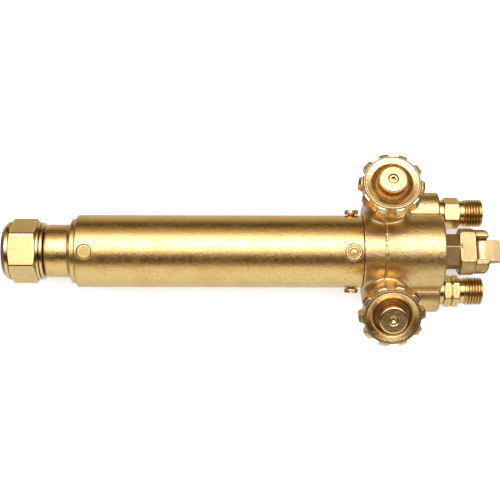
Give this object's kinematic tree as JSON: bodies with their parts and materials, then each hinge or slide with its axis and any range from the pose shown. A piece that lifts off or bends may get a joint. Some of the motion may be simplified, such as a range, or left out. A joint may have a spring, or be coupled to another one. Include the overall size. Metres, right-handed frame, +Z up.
{
  "type": "torch handle",
  "caption": "Two-valve brass hand torch body for lampwork: coupling nut in front, barrel, forged valve body, lobed knobs, threaded hose ends and a rear swivel tab.",
  "frame": {"origin": "on the bench under the middle of the bounding box", "axes": "+X along the torch from the coupling nut to the hose ends, +Y towards the oxygen side, +Z up out of the face that carries the two valve knobs"},
  "size_m": [0.2488, 0.0944, 0.0548],
  "materials": {
    "satin_brass": "fine blasted satin",
    "forged_brass": "blasted forging",
    "machined_brass": "machined",
    "knob_brass": "forged lobes with a turned dish",
    "packing_white": "moulded fluoropolymer",
    "ball_steel": "polished ball"
  },
  "bodies": {
    "torch_body": {"barrel": "satin_brass", "barrel_rivet_back": "machined_brass", "barrel_rivet_front": "machined_brass", "barrel_screw_fuel_side": "machined_brass", "barrel_screw_oxygen_side": "machined_brass", "front_plug": "machined_brass", "fuel_gland_ring": "machined_brass", "fuel_hose_nipple": "machined_brass", "fuel_packing": "packing_white", "fuel_packing_nut": "machined_brass", "fuel_tube": "machined_brass", "head_connector": "machined_brass", "oxygen_gland_ring": "machined_brass", "oxygen_hose_nipple": "machined_brass", "oxygen_packing": "packing_white", "oxygen_packing_nut": "machined_brass", "oxygen_tube": "machined_brass", "rear_body": "forged_brass", "swivel_pin": "machined_brass", "swivel_stud": "forged_brass"},
    "coupling_nut": {"coupling_nut": "machined_brass", "nut_retaining_ring": "machined_brass"},
    "oxygen_seat": {"oxygen_seat_ball": "ball_steel"},
    "oxygen_valve": {"oxygen_spindle": "machined_brass", "oxygen_knob": "knob_brass"},
    "fuel_seat": {"fuel_seat_ball": "ball_steel"},
    "fuel_valve": {"fuel_spindle": "machined_brass", "fuel_knob": "knob_brass"},
    "swivel_tab": {"swivel_tab": "forged_brass"}
  },
  "joints": [
    {"name": "coupling_nut_spin", "type": "hinge", "parent": "torch_body", "child": "coupling_nut", "pos_m": [-0.1151, 0, 0.0182], "axis": [1, 0, 0], "continuous": true},
    {"name": "oxygen_spindle_lift", "type": "slide", "parent": "torch_body", "child": "oxygen_seat", "axis": [0, 0.3338, 0.9426], "range_m": [0, 0.00182]},
    {"name": "oxygen_valve_turn", "type": "hinge", "parent": "oxygen_seat", "child": "oxygen_valve", "pos_m": [0.06685, 0.0188, 0.0104], "axis": [0, 0.3338, 0.9426], "range_deg": [0, 720]},
    {"name": "fuel_spindle_lift", "type": "slide", "parent": "torch_body", "child": "fuel_seat", "axis": [0, -0.3338, 0.9426], "range_m": [0, 0.00182]},
    {"name": "fuel_valve_turn", "type": "hinge", "parent": "fuel_seat", "child": "fuel_valve", "pos_m": [0.06685, -0.0188, 0.0104], "axis": [0, -0.3338, 0.9426], "range_deg": [0, 720]},
    {"name": "swivel_tab_pivot", "type": "hinge", "parent": "torch_body", "child": "swivel_tab", "pos_m": [0.11475, 0, 0.0182], "axis": [0, 0.9636, -0.2672], "range_deg": [-90, 90]}
  ],
  "couplings": [
    {"joint": "oxygen_spindle_lift", "follows": "oxygen_valve_turn", "m_per_rad": 0.00014435},
    {"joint": "fuel_spindle_lift", "follows": "fuel_valve_turn", "m_per_rad": 0.00014435}
  ]
}
